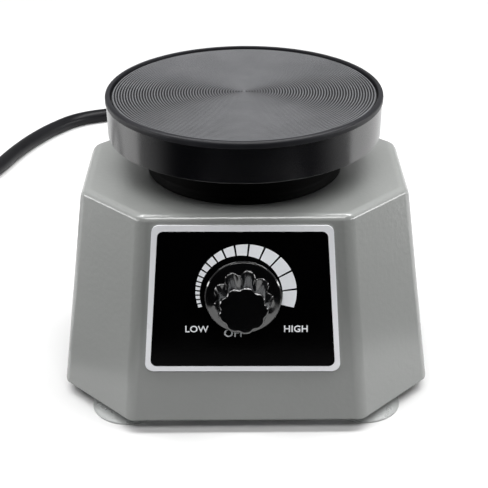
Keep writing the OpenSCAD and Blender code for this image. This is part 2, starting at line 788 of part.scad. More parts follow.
lead_r = 1;
mains_leads = [for (s = [-1 : 1]) [
    [1.8 * s, 45.2, 18.8], [3 * s, 43.6, 17.6], [6 * s, 42, 15], [7.6 * s, 40.4, 13.4], [8 * s, 37, 13]
]];
board_leads = [
    [[-8, 31, 13], [-9, 27.8, 13.2], [-13, 25.8, 13.2], [-22, 25.3, 13], [-29.5, 22, 12.6],
     [-32, 14, 12.3], [-32.2, 0, 12.2], [-32, -14, 12.4], [-30, -25, 15], [-27, -31, 22],
     [-25, -32.8, 31], [-25, -34.3, 37]],
    [[0, 31, 13], [-0.6, 27.8, 13.8], [-4, 24.6, 14.6], [-13, 23, 14.2], [-22, 22.9, 13.2],
     [-27.8, 19.6, 12.6], [-29.7, 14, 12.3], [-29.8, 0, 12.2], [-29.6, -14, 12.4],
     [-27, -24, 15], [-23.6, -30.5, 22], [-21, -32.6, 31], [-21, -34.3, 37]]
];
coil_leads = [for (s = [-1, 1]) [
    [11 * s, -22, 42], [11 * s, -25, 41.4], [11.5 * s, -28, 41.6], [12 * s, -31, 43], [12 * s, -33.5, 44]
]];
earth_lead = [
    [8, 31, 13], [9, 27.6, 13.2], [13, 25.6, 12.8], [17.4, 28, 11.4], [19.4, 32.4, 10.2], [20.4, 36, 9.8]
];

module lead_wires() {
    color([0.5, 0.2, 0.1]) place() for (route = concat(mains_leads, board_leads, coil_leads, [earth_lead]))
        swept_tube(route, lead_r, 8);
}

module cord_coil() {
    color([0.04, 0.04, 0.04]) place() translate([coil_x, coil_y, 0]) rotate_extrude()
        translate([coil_mid_r - coil_half_w, 0.05]) square([2 * coil_half_w, coil_h]);
}

tie_w = 9;
tie_t = 0.8;

module cord_tie() {
    inner = coil_half_w + 0.4;
    color([0.06, 0.06, 0.06]) place() translate([coil_x - coil_mid_r, coil_y, 0.05]) difference() {
        box_at([-inner - tie_t, -tie_w / 2, 0], [inner + tie_t, tie_w / 2, coil_h + 0.02 + tie_t]);
        box_at([-inner, -tie_w, -1], [inner, tie_w, coil_h + 0.02]);
    }
}

module on_plug() {
    translate([plug_x, plug_y, plug_z]) rotate([0, 0, plug_turn]) rotate([0, 90, 0]) children();
}

plug_len = 42;
plug_face_x = 12.5;
plug_face_y = 14;

module plug_body() {
    color([0.04, 0.04, 0.04]) place() on_plug() hull() {
        translate([0, 0, 4]) cylinder(r = cord_r + 2, h = 1, $fn = 32);
        for (sx = [-1, 1], sy = [-1, 1]) translate([sx * 5.5, sy * 6.5, 18])
            cylinder(r = 4, h = 10, $fn = 32);
        for (sx = [-1, 1], sy = [-1, 1])
            translate([sx * (plug_face_x - 4.5), sy * (plug_face_y - 4.5), plug_len - 8])
                cylinder(r = 4.2, h = 8, $fn = 32);
    }
}

blade_gap = 12.7;
blade_len = 17;
earth_pin_r = 2.4;
earth_pin_len = 21;

module plug_pins() {
    color([0.8, 0.65, 0.35]) place() on_plug() {
        for (s = [-1, 1]) translate([0, s * blade_gap / 2, plug_len])
            box_at([-5.5, -0.75, 0], [0.9, 0.75, blade_len]);
        translate([6.4, 0, plug_len]) cylinder(r = earth_pin_r, h = earth_pin_len);
    }
}

housing();
base_plate();
base_screws();
front_left_foot();
front_right_foot();
rear_left_foot();
rear_right_foot();
foot_screws();
dial_label();
neck_collar();
magnet_bracket();
bracket_screws();
magnet_core();
core_bolts();
coil_bobbin();
coil_winding();
spring_posts();
post_screws();
front_leaf_spring();
rear_leaf_spring();
spring_clamps();
clamp_screws();
armature();
armature_spacer();
hub();
hub_screws();
plate_cap();
cap_screws();
rubber_pad();
pot_body();
pot_bushing();
pot_washer();
pot_nut();
pot_shaft();
knob();
knob_insert();
control_board();
board_standoffs();
board_screws();
triac();
heat_sink();
capacitor();
choke();
resistors();
fuse();
fuse_clips();
terminal_block();
terminal_screws();
earth_lug();
earth_screw();
lead_wires();
strain_relief();
relief_clip();
cord();
cord_coil();
cord_tail();
cord_tie();
plug_body();
plug_pins();
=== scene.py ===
import json
import math

import bmesh
import bpy
from mathutils import Matrix, Vector


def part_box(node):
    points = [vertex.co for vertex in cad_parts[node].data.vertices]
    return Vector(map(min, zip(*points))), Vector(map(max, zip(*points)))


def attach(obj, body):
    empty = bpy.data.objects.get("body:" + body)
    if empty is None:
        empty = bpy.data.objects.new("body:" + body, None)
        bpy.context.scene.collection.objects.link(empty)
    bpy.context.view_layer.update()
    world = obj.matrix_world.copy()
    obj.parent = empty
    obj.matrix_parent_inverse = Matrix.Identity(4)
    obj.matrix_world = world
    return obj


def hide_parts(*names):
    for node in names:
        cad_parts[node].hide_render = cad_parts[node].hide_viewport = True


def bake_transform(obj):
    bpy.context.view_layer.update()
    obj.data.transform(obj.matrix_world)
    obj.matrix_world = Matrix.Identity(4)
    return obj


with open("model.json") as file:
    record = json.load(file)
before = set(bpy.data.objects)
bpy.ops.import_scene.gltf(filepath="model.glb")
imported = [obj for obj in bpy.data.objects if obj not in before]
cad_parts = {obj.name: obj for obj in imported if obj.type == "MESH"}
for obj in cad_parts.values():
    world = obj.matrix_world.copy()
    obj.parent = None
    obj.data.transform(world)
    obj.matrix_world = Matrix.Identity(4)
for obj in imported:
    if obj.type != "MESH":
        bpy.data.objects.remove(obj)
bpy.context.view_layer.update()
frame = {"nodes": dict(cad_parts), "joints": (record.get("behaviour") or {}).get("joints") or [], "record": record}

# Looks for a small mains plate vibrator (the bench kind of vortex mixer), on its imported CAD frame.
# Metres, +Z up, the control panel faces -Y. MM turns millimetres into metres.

MM = 0.001
nodes = frame["nodes"]


# ---------- places, from the frame ----------

def middle(node):
    low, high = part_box(node)
    return (low + high) / 2


def joint(name):
    return next(j for j in frame["joints"] if j["name"] == name)


pad_low, pad_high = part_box("rubber_pad")
cap_low, cap_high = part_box("plate_cap")
housing_low, housing_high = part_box("housing")
AXIS_Y = middle("rubber_pad").y
PLATE_R = (pad_high.x - pad_low.x) / 2
RIM_Z = housing_low.z
ROOF_Z = housing_high.z
BODY_H = ROOF_Z - RIM_Z

# LEAN is how far the housing's front leans back. FACE lies on that front at the knob's axis, with its
# Z axis outwards; OVER_AXIS stands on the table under the plate's middle.
knob_joint = joint("knob_turn")
inward = Vector(knob_joint["axis"])
LEAN = math.atan2(-inward.z, inward.y)
FACE = Matrix.Translation(knob_joint["pos_m"]) @ Matrix.Rotation(math.pi / 2 - LEAN, 4, "X")
OVER_AXIS = Matrix.Translation((0, AXIS_Y, 0))


# ---------- camera ----------

CAMERA_RISE = math.radians(27.6)
CAMERA_ROLL = math.radians(0.4)
CAMERA_AWAY = 0.46
CAMERA_AIM = Vector((-0.0004, AXIS_Y, RIM_Z + 0.0438))
# The tangent of half the angle of view
HALF_VIEW = 0.2061


def make_camera():
    """Looks along +Y and down at the object, with a slight roll."""
    back = Vector((0, -math.cos(CAMERA_RISE), math.sin(CAMERA_RISE)))
    right = Matrix.Rotation(CAMERA_ROLL, 3, -back) @ Vector((1, 0, 0))
    up = back.cross(right)
    data = bpy.data.cameras.new("camera")
    data.angle = 2 * math.atan(HALF_VIEW)
    camera = bpy.data.objects.new("camera", data)
    camera.matrix_world = Matrix.LocRotScale(
        CAMERA_AIM + CAMERA_AWAY * back, Matrix((right, up, back)).transposed(), None)
    bpy.context.scene.collection.objects.link(camera)
    bpy.context.scene.camera = camera


make_camera()


# ---------- materials ----------

# Noise is drawn out from this span of its values to a material's full spread
NOISE_SPAN = (0.25, 0.75)
GRAIN_RELIEF = 0.1 * MM


def new_node(tree, kind, **values):
    node = tree.nodes.new(kind)
    for key, value in values.items():
        node.inputs[key].default_value = value
    return node


def remap(tree, value, span, result, smooth=False):
    """Turns a value's span into the result's span, and gives the socket that holds the outcome."""
    node = tree.nodes.new("ShaderNodeMapRange")
    if smooth:
        node.interpolation_type = "SMOOTHSTEP"
    for name, number in zip(("From Min", "From Max", "To Min", "To Max"), (*span, *result)):
        node.inputs[name].default_value = number
    tree.links.new(value, node.inputs["Value"])
    return node.outputs["Result"]


def material(name, color, rough, spread, scale=40.0, grain=0.0, grain_scale=900.0,
             stretch=(1, 1, 1), rough_spread=0.04, **sockets):
    """A surface whose colour and gloss vary by noise, with a fine grain in relief.
    stretch scales the noise along each axis, so that unequal numbers give brushed lines.
    sockets are the shader's own, with _ for each space in a name."""
    m = bpy.data.materials.new(name)
    m.use_nodes = True
    tree = m.node_tree
    link = tree.links.new
    shader = tree.nodes["Principled BSDF"]
    for key, value in sockets.items():
        shader.inputs[key.replace("_", " ")].default_value = value
    place = tree.nodes.new("ShaderNodeTexCoord")
    mapping = new_node(tree, "ShaderNodeMapping", Scale=stretch)
    link(place.outputs["Object"], mapping.inputs["Vector"])
    patches = new_node(tree, "ShaderNodeTexNoise", Scale=scale, Detail=4.0, Roughness=0.6)
    link(mapping.outputs["Vector"], patches.inputs["Vector"])
    tones = tree.nodes.new("ShaderNodeValToRGB")
    tones.color_ramp.interpolation = "EASE"
    for stop, position, share in zip(tones.color_ramp.elements, NOISE_SPAN, (1 - spread, 1 + spread)):
        stop.position = position
        stop.color = [c * share for c in color] + [1]
    link(patches.outputs["Fac"], tones.inputs["Fac"])
    link(tones.outputs["Color"], shader.inputs["Base Color"])
    roughs = (max(0.0, rough - rough_spread), rough + rough_spread)
    link(remap(tree, patches.outputs["Fac"], NOISE_SPAN, roughs, smooth=True), shader.inputs["Roughness"])
    if grain:
        fine = new_node(tree, "ShaderNodeTexNoise", Scale=grain_scale, Detail=3.0)
        link(mapping.outputs["Vector"], fine.inputs["Vector"])
        bump = new_node(tree, "ShaderNodeBump", Strength=grain, Distance=GRAIN_RELIEF)
        link(fine.outputs["Fac"], bump.inputs["Height"])
        link(bump.outputs["Normal"], shader.inputs["Normal"])
    return m


def paint_shading_by_height(m, span, shares):
    """Paints light and shade into a material: scales its colour from one share to another over a span of heights
    in metres.
    """
    tree = m.node_tree
    base = tree.nodes["Principled BSDF"].inputs["Base Color"]
    place = tree.nodes.new("ShaderNodeTexCoord")
    split = tree.nodes.new("ShaderNodeSeparateXYZ")
    tree.links.new(place.outputs["Object"], split.inputs["Vector"])
    scaled = tree.nodes.new("ShaderNodeVectorMath")
    scaled.operation = "SCALE"
    tree.links.new(base.links[0].from_socket, scaled.inputs["Vector"])
    tree.links.new(remap(tree, split.outputs["Z"], span, shares), scaled.inputs["Scale"])
    tree.links.new(scaled.outputs["Vector"], base)


# Each look: colour, roughness, spread of the colour, then what material() takes by name
LOOKS = {
    "housing_paint": ((0.222, 0.229, 0.222), 0.22, 0.02, dict(
        scale=25, grain=0.8, grain_scale=520, rough_spread=0.01, Specular_IOR_Level=0.65)),
    "sheet_steel": ((0.58, 0.59, 0.60), 0.34, 0.12, dict(
        scale=90, grain=0.2, stretch=(1, 12, 12), Metallic=1.0)),
    "screw_steel": ((0.66, 0.66, 0.67), 0.28, 0.1, dict(scale=300, grain=0.2, Metallic=1.0)),
    "clear_vinyl": ((0.58, 0.60, 0.59), 0.3, 0.02, dict(
        scale=120, grain=0.1, Transmission_Weight=0.3, IOR=1.42, Alpha=0.42)),
    "panel_print": ((0.0006, 0.0006, 0.0007), 0.16, 0.15, dict(
        scale=60, grain=0.12, grain_scale=1500, Specular_IOR_Level=0.03)),
    "panel_border": ((0.88, 0.89, 0.92), 0.30, 0.03, dict(scale=60, grain=0.15, grain_scale=1500)),
    "panel_white": ((0.92, 0.94, 0.97), 0.35, 0.03, dict(scale=200, grain=0.1, grain_scale=1500)),
    "collar_black": ((0.0010, 0.0010, 0.0010), 0.6, 0.2, dict(
        scale=90, grain=0.3, Specular_IOR_Level=0.04)),
    "core_steel": ((0.16, 0.17, 0.19), 0.5, 0.3, dict(
        scale=60, grain=0.8, grain_scale=700, stretch=(1, 14, 1), Metallic=0.8)),
    "bobbin_nylon": ((0.80, 0.76, 0.64), 0.4, 0.04, dict(grain=0.2)),
    "copper_enamel": ((0.55, 0.20, 0.07), 0.24, 0.25, dict(
        scale=220, grain=0.9, grain_scale=500, stretch=(1, 1, 9), Metallic=0.9, Coat_Weight=0.6)),
    "spring_steel": ((0.36, 0.39, 0.45), 0.26, 0.12, dict(
        scale=80, grain=0.2, stretch=(1, 14, 14), Metallic=1.0)),
    "cast_aluminium": ((0.64, 0.65, 0.66), 0.45, 0.1, dict(
        scale=180, grain=0.6, grain_scale=500, Metallic=1.0)),
    "gloss_black": ((0.0012, 0.0012, 0.0020), 0.19, 0.2, dict(
        scale=30, grain=0.03, grain_scale=300, rough_spread=0.03, IOR=1.95)),
    "knob_black": ((0.0015, 0.0015, 0.0018), 0.13, 0.2, dict(
        scale=120, grain=0.06, grain_scale=700, rough_spread=0.03, IOR=1.8)),
    "pad_rubber": ((0.100, 0.101, 0.106), 0.6, 0.10, dict(
        scale=70, grain=0.3, grain_scale=1600, rough_spread=0.06, Specular_IOR_Level=0.14)),
    "lip_rubber": ((0.010, 0.010, 0.012), 0.42, 0.15, dict(
        scale=90, grain=0.2, grain_scale=900, rough_spread=0.06, Specular_IOR_Level=0.2)),
    "brass": ((0.72, 0.50, 0.20), 0.26, 0.1, dict(scale=200, grain=0.2, Metallic=1.0)),
    "shaft_steel": ((0.66, 0.66, 0.67), 0.22, 0.08, dict(
        scale=200, grain=0.25, stretch=(1, 1, 14), Metallic=1.0)),
    "pot_case": ((0.03, 0.13, 0.20), 0.35, 0.1, dict(grain=0.2)),
    "circuit_board": ((0.02, 0.16, 0.07), 0.3, 0.35, dict(
        scale=420, grain=0.4, grain_scale=300, stretch=(1, 1, 3))),
    "black_epoxy": ((0.02, 0.02, 0.02), 0.5, 0.2, dict(grain=0.5)),
    "film_yellow": ((0.74, 0.48, 0.05), 0.22, 0.06, dict(grain=0.15)),
    "resistor_beige": ((0.58, 0.42, 0.25), 0.4, 0.35, dict(scale=330, stretch=(3, 0.2, 0.2))),
    "fuse_glass": ((0.92, 0.95, 0.95), 0.05, 0.02, dict(Transmission_Weight=0.9, IOR=1.5)),
    "block_nylon": ((0.84, 0.83, 0.77), 0.4, 0.04, dict(grain=0.2)),
    "lead_insulation": ((0.30, 0.07, 0.03), 0.4, 0.35, dict(scale=35, grain=0.1)),
    "cord_rubber": ((0.006, 0.006, 0.007), 0.34, 0.15, dict(
        scale=80, grain=0.25, grain_scale=1300, rough_spread=0.06, Specular_IOR_Level=0.14)),
    "tie_black": ((0.014, 0.014, 0.014), 0.75, 0.3, dict(scale=500, grain=1.0, grain_scale=1800)),
    "plug_black": ((0.010, 0.010, 0.010), 0.42, 0.15, dict(scale=90, grain=0.35, grain_scale=1100)),
}
looks = {name: material(name, *look, **more) for name, (*look, more) in LOOKS.items()}


# ---------- mesh helpers ----------

def add_piece(name, mesh, look, body, sharp=30.0):
    """A new piece from a mesh: one material, smooth faces with sharp edges kept, riding on a body."""
    mesh.materials.clear()
    mesh.materials.append(looks[look])
    mesh.shade_smooth()
    mesh.set_sharp_from_angle(angle=math.radians(sharp))
    piece = bpy.data.objects.new(name, mesh)
    bpy.context.scene.collection.objects.link(piece)
    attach(piece, body)
    return piece


def mesh_from(name, bm, place=Matrix.Identity(4)):
    bmesh.ops.recalc_face_normals(bm, faces=bm.faces)
    mesh = bpy.data.meshes.new(name)
    bm.to_mesh(mesh)
    bm.free()
    mesh.transform(place)
    return mesh


def rounded(points, steps=5):
    """The outline with its corners rounded: each point is (x, y) or (x, y, radius)."""
    outline = []
    for i, point in enumerate(points):
        here = Vector(point[:2])
        radius = point[2] if len(point) > 2 else 0
        before = (Vector(points[i - 1][:2]) - here).normalized()
        after = (Vector(points[(i + 1) % len(points)][:2]) - here).normalized()
        half = before.angle(after) / 2
        if radius == 0 or half > math.pi / 2 - 0.02:
            outline.append(here)
            continue
        reach = radius / math.tan(half)
        centre = here + (before + after).normalized() * radius / math.sin(half)
        start = here + before * reach - centre
        turn = start.angle_signed(here + after * reach - centre)
        for k in range(steps + 1):
            outline.append(centre + Matrix.Rotation(-turn * k / steps, 2) @ start)
    return outline


def lathe(name, profile, segments, place=OVER_AXIS, wobble=None):
    """A closed solid: the (radius, height) outline turned about the local Z axis.
    wobble(angle, radius, height) may change a point's radius, as on a fluted knob."""
    bm = bmesh.new()
    rings = []
    for r, z in profile:
        if r < 1e-7:
            rings.append([bm.verts.new((0, 0, z))])
            continue
        ring = []
        for k in range(segments):
            a = 2 * math.pi * k / segments
            size = wobble(a, r, z) if wobble else r
            ring.append(bm.verts.new((size * math.cos(a), size * math.sin(a), z)))
        rings.append(ring)
    for i, ring in enumerate(rings):
        other = rings[(i + 1) % len(rings)]
        if len(ring) == 1 and len(other) == 1:
            continue
        for k in range(segments):
            m = (k + 1) % segments
            if len(ring) == 1:
                bm.faces.new((ring[0], other[m], other[k]))
            elif len(other) == 1:
                bm.faces.new((ring[k], ring[m], other[0]))
            else:
                bm.faces.new((ring[k], ring[m], other[m], other[k]))
    return mesh_from(name, bm, place)


def prism(name, outlines, low, high, place, edge=0.0):
    """Flat shapes given by their outlines, each made into a solid from low to high.
    edge rounds the upper edges."""
    bm = bmesh.new()
    for outline in outlines:
        floor = [bm.verts.new((x, y, low)) for x, y in outline]
        roof = [bm.verts.new((x, y, high)) for x, y in outline]
        bm.faces.new(floor)
        top = bm.faces.new(roof)
        for k in range(len(floor)):
            m = (k + 1) % len(floor)
            bm.faces.new((floor[k], floor[m], roof[m], roof[k]))
        if edge:
            bmesh.ops.bevel(bm, geom=list(top.edges), offset=edge, segments=3, affect="EDGES")
    return mesh_from(name, bm, place)


def settle(piece):
    """Replaces the piece's mesh by what its modifiers make of it."""
    graph = bpy.context.evaluated_depsgraph_get()
    made = bpy.data.meshes.new_from_object(piece.evaluated_get(graph))
    piece.modifiers.clear()
    piece.data = made


def cut(piece, cutter_mesh):
    """Cuts the piece with a helper solid, which is then removed."""
    cutter = bpy.data.objects.new("cutter", cutter_mesh)
    bpy.context.scene.collection.objects.link(cutter)
    step = piece.modifiers.new("cut", "BOOLEAN")
    step.operation = "DIFFERENCE"
    step.solver = "EXACT"
    step.object = cutter
    settle(piece)
    bpy.data.objects.remove(cutter)


def drill(piece, radius, low, high, place, segments):
    """Cuts a round hole between two heights on the place's own Z axis."""
    cut(piece, lathe("cutter", [(0, low), (radius, low), (radius, high), (0, high)], segments, place))


def level_shading(piece, sharp=30.0):
    """Keeps large flat faces flat beside their rounded edges."""
    piece.data.shade_smooth()
    piece.data.set_sharp_from_angle(angle=math.radians(sharp))
    step = piece.modifiers.new("level", "WEIGHTED_NORMAL")
    step.keep_sharp = True
    step.weight = 100


# ---------- cord, with its coil ----------

CORD_R = 3.75 * MM
# The cord's route is in mm, from the plate's axis and, upwards, from the table
CORD_EXIT = (0, 53.4, 20)
LYING_Z = 3.8
COIL_AT = (-198, 139)
COIL_START = math.radians(-17)
# Turns in all and in the lower layer, and where the climb to the upper one starts and how long it takes
COIL_TURNS, LAYER_TURNS = 4.05, 2
CLIMB_START, CLIMB_TURN = 1.85, 0.25
# Radius of the outermost turn, the step from one turn to the next, and the step to the upper layer
COIL_OUTER_R = 48.7
COIL_STEP = 7.6
LAYER_UP = 7.5
# The route's points before and after the coil
entry_route = [
    CORD_EXIT, (0, 60, 20.9), (0, 78, 23.5), (0, 92, 25.3), (0, 104, 26.2), (0, 118, 25.4),
    (0, 132, 22.4), (0, 146, 17.4), (0, 158, 12), (0, 170, 7.4), (0, 182, 4.7), (-2, 194, 3.8),
    (-5, 212, 3.8), (-14, 230, 3.8), (-28, 243.5, 3.8), (-46, 252.5, 3.8), (-66, 256, 3.8),
    (-85, 252.5, 3.8), (-99, 245.3, 3.8), (-109.5, 233, 3.8), (-118.5, 217.5, 3.8),
    (-126, 199.5, 3.8), (-132, 180, 3.8), (-137, 165.5, 3.8), (-142, 151, 3.8), (-146.8, 138, 3.8),
]
tail_route = [(-165, 101.5, 11.5), (-172, 91.6, 12), (-179.4, 82, 12.5), (-187, 72.3, 12.5)]


def ease(t):
    t = min(max(t, 0), 1)
    return t * t * (3 - 2 * t)


def coil_route(per_turn=24):
    """Two flat spirals, one on the other: inwards along the table, then outwards on top."""
    count = round(COIL_TURNS * per_turn)
    route = []
    for i in range(count + 1):
        t = COIL_TURNS * i / count
        radius = COIL_OUTER_R - COIL_STEP * min(t, 2 * LAYER_TURNS - t)
        angle = COIL_START - 2 * math.pi * t
        route.append((
            COIL_AT[0] + radius * math.cos(angle),
            COIL_AT[1] + radius * math.sin(angle),
            LYING_Z + LAYER_UP * ease((t - CLIMB_START) / CLIMB_TURN),
        ))
    return route


def from_axis(x, y, z):
    """A point in metres, from mm measured from the plate's axis and the table."""
    return (x * MM, y * MM + AXIS_Y, z * MM)


def tube(name, route, radius, look, body):
    data = bpy.data.curves.new(name, "CURVE")
    data.dimensions = "3D"
    data.bevel_depth = radius
    data.bevel_resolution = 7
    data.resolution_u = 6
    data.use_fill_caps = True
    spline = data.splines.new("BEZIER")
    spline.bezier_points.add(len(route) - 1)
    for point, spot in zip(spline.bezier_points, route):
        point.co = from_axis(*spot)
        point.handle_left_type = point.handle_right_type = "AUTO"
    data.materials.append(looks[look])
    piece = bpy.data.objects.new(name, data)
    bpy.context.scene.collection.objects.link(piece)
    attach(piece, body)
    return piece


cord = tube("mains_cord", entry_route + coil_route() + tail_route, CORD_R, "cord_rubber", "base")
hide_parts("cord", "cord_coil", "cord_tail")


# ---------- housing ----------

def octagon(half_x, half_y, corner):
    """An eight-sided outline: corner is x + y on its slanting sides."""
    quarter = [(half_x, corner - half_x), (corner - half_y, half_y)]
    left = [(-x, y) for x, y in reversed(quarter)]
    return quarter + left + [(-x, -y) for x, y in quarter] + [(x, -y) for x, y in reversed(quarter)]


# Half width, half depth, and x + y on the slanting corners, all in mm
RIM_OUTLINE = (69.25, 55.5, 98)
ROOF_OUTLINE = (59, 44.5, 80.5)
WALL = 4
# The rounding of the edges: the largest, and each kind's share of it
ROUNDING = 8 * MM
BOTTOM_SHARE, UPRIGHT_SHARE, TOP_SHARE, FRONT_TOP_SHARE = 0.12, 0.34, 0.5, 0.3
# Bosses for the base screws, inside the walls: places from the plate's axis, radius, and heights of
# their ends over the rim, in mm
BOSSES = ((-60, 0), (60, 0), (-18, -47), (18, -47), (-18, 47), (18, 47))
BOSS_R, BOSS_FROM, BOSS_TO = 5, 3, 15
NECK_HOLE_R = 30 * MM
SHAFT_HOLE_R = 3.6 * MM
CORD_HOLE_R = 6 * MM
# How far a cutter stands out on each side of the wall that it cuts
CUTTER_REACH = 8 * MM


def tapered_block(inset, low, high, rounded_edges=False):
    """The housing's block between two heights above its rim, in mm, shrunk by inset on every side.
    rounded_edges gives its edges the weights that the bevel works with."""
    def outline(z):
        share = z / (BODY_H / MM)
        sizes = [a + (b - a) * share for a, b in zip(RIM_OUTLINE, ROOF_OUTLINE)]
        return octagon(sizes[0] - inset, sizes[1] - inset, sizes[2] - inset * math.sqrt(2))

    bm = bmesh.new()
    rings = [[bm.verts.new((x * MM, y * MM, z * MM)) for x, y in outline(z)] for z in (low, high)]
    weights = bm.edges.layers.float.new("bevel_weight_edge")
    bm.faces.new(rings[0])
    bm.faces.new(rings[1])
    for k in range(8):
        m = (k + 1) % 8
        bm.faces.new((rings[0][k], rings[0][m], rings[1][m], rings[1][k]))
    if rounded_edges:
        # Of the roof's edges, only those that reach its front face come in front of this line
        front_y = -0.9 * ROOF_OUTLINE[1] * MM
        for edge in bm.edges:
            upper_ends = sum(v.co.z > (low + high) / 2 * MM for v in edge.verts)
            share = (BOTTOM_SHARE, UPRIGHT_SHARE, TOP_SHARE)[upper_ends]
            if upper_ends == 2 and any(v.co.y < front_y for v in edge.verts):
                share = FRONT_TOP_SHARE
            edge[weights] = share
    return mesh_from("block", bm, Matrix.Translation((0, AXIS_Y, RIM_Z)))


def make_housing():
    height = BODY_H / MM
    block = tapered_block(0, 0, height, rounded_edges=True)
    piece = add_piece("painted_housing", block, "housing_paint", "base")
    step = piece.modifiers.new("round", "BEVEL")
    step.limit_method = "WEIGHT"
    step.width = ROUNDING
    step.segments = 9
    settle(piece)
    cavity = bpy.data.objects.new("cavity", tapered_block(WALL, -1, height - WALL))
    bpy.context.scene.collection.objects.link(cavity)
    for x, y in BOSSES:
        at = Matrix.Translation((x * MM, y * MM + AXIS_Y, RIM_Z))
        drill(cavity, BOSS_R * MM, BOSS_FROM * MM, BOSS_TO * MM, at, 32)
    cut(piece, cavity.data)
    bpy.data.objects.remove(cavity)
    drill(piece, NECK_HOLE_R, ROOF_Z - CUTTER_REACH, ROOF_Z + CUTTER_REACH, OVER_AXIS, 96)
    drill(piece, SHAFT_HOLE_R, -CUTTER_REACH, CUTTER_REACH, FACE, 48)
    rear = Matrix.Translation(from_axis(*CORD_EXIT)) @ Matrix.Rotation(LEAN - math.pi / 2, 4, "X")
    drill(piece, CORD_HOLE_R, -CUTTER_REACH, CUTTER_REACH, rear, 48)
    piece.data.materials.clear()
    piece.data.materials.append(looks["housing_paint"])
    level_shading(piece, 35)
    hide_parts("housing")


make_housing()


# ---------- plate and neck: ribbed pad, glossy cap, collar ----------

RIBS = 47
RIB_PITCH = 1.0 * MM
# Half of a groove's outline, from its rim to its bottom: how far from its middle, and how deep, in mm
GROOVE = ((0.42, 0.03), (0.28, 0.16), (0.21, 0.9))
# The same for the slope at the ribbed disc's edge: how far inside the edge, and how deep
EDGE_SLOPE = ((0.5, 0.03), (0.2, 0.4), (0, 0.6))
LIP_W = 1.8 * MM
LIP_UP = 0.8 * MM
LIP_GAP = 0.6 * MM
CAP_SCREWS = 4
CAP_SCREW_CIRCLE_R = 20 * MM
CAP_SCREW_HOLE_R = 2.1 * MM
CAP_SCREW_HEAD_R = 4.1 * MM
CAP_SCREW_SINK = 2.2 * MM
PLATE_SEGMENTS = 288


def make_pad():
    """The ribbed disc inside the lip: round-topped ribs with narrow grooves between them."""
    face = pad_high.z - LIP_UP
    # Painted shade: the grooves' colour gets darker towards their bottoms, standing in for the shade deep in them
    paint_shading_by_height(looks["pad_rubber"], (face - 0.5 * MM, face - 0.15 * MM), (0.20, 1.0))
    profile = [(0, pad_low.z), (0, face - 0.1 * MM), (0.2 * MM, face)]
    for i in range(1, RIBS + 1):
        r = i * RIB_PITCH
        profile += [(r - across * MM, face - deep * MM) for across, deep in GROOVE]
        profile += [(r + across * MM, face - deep * MM) for across, deep in reversed(GROOVE)]
    edge = PLATE_R - LIP_W - LIP_GAP
    profile += [(edge - inside * MM, face - deep * MM) for inside, deep in EDGE_SLOPE]
    profile.append((edge, pad_low.z))
    mesh = lathe("ribbed_pad", profile, PLATE_SEGMENTS)
    disc = add_piece("ribbed_pad", mesh, "pad_rubber", "plate", 60)
    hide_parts("rubber_pad")
    profile = rounded([
        (PLATE_R - LIP_W, pad_low.z), (PLATE_R - LIP_W, pad_high.z, 0.35 * MM),
        (PLATE_R, pad_high.z, 1.1 * MM), (PLATE_R, pad_low.z, 0.1 * MM)], 6)
    mesh = lathe("pad_lip", profile, PLATE_SEGMENTS)
    lip = add_piece("pad_lip", mesh, "lip_rubber", "plate", 50)


def make_cap():
    """The glossy dish under the pad, with its skirt and four countersunk screw holes."""
    r = PLATE_R
    low, top = cap_low.z, cap_high.z
    under = top - 3 * MM
    profile = rounded([
        (0, under), (r - 4.4 * MM, under, 1.0 * MM), (r - 3.8 * MM, low, 0.6 * MM),
        (r - 0.5 * MM, low, 0.1 * MM), (r - 0.3 * MM, top, 0.1 * MM), (0, top)], 7)
    mesh = lathe("glossy_cap", profile, PLATE_SEGMENTS)
    piece = add_piece("glossy_cap", mesh, "gloss_black", "plate", 40)
    over = 0.02 * MM
    sink = [(0, -CAP_SCREW_SINK), (CAP_SCREW_HOLE_R, -CAP_SCREW_SINK),
            (CAP_SCREW_HEAD_R, over), (0, over)]
    for k in range(CAP_SCREWS):
        turn = Matrix.Rotation(math.radians(45 + 360 * k / CAP_SCREWS), 3, "Z")
        spot = turn @ Vector((CAP_SCREW_CIRCLE_R, 0, 0))
        at = Matrix.Translation(spot + Vector((0, AXIS_Y, top)))
        drill(piece, CAP_SCREW_HOLE_R, -4 * MM, 1 * MM, at, 32)
        cut(piece, lathe("cutter", sink, 32, at))
    level_shading(piece, 40)
    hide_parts("plate_cap")


def make_collar():
    """The neck between roof and plate: a soft boot with a small flare where it meets the roof."""
    roof, top = ROOF_Z, cap_low.z + 4 * MM

    def spot(r, z, radius=0.0):
        return (r * MM, z, radius * MM)

    profile = rounded([
        spot(27.4, roof - 6.5 * MM), spot(33, roof - 6.5 * MM), spot(33, roof - 4 * MM),
        spot(29.95, roof - 4 * MM), spot(29.95, roof), spot(36, roof), spot(36, roof + 0.9 * MM, 0.4),
        spot(35, roof + 2.6 * MM, 2.5), spot(34.6, top - 3 * MM, 1.5), spot(33.6, top, 0.6),
        spot(31, top), spot(31, roof + 2.5 * MM), spot(27.4, roof + 2.5 * MM)], 6)
    piece = add_piece("neck_boot", lathe("neck_boot", profile, 160), "collar_black", "base", 40)
    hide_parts("neck_collar")


make_pad()
make_cap()
make_collar()


# ---------- label: border, panel, scale and words ----------

# Heights on the panel from the knob's axis, the sticker's and the print's thickness, all in mm
LABEL_LOW, LABEL_HIGH = -29.1, 25.9
STICKER = 0.6
PRINT = 0.04
# The scale: where it starts and how far it turns, in degrees, and how many blocks it has
SCALE_START, SCALE_TURN = 197.1, 212.2
SCALE_BLOCKS, EVEN_BLOCKS = 18, 6
# Its outer and inner circle: middle and radius, in mm
SCALE_OUTER = (Vector((1.2, 1.4)), 17.7)
SCALE_INNER = (Vector((-0.5, 0.5)), 14.5)
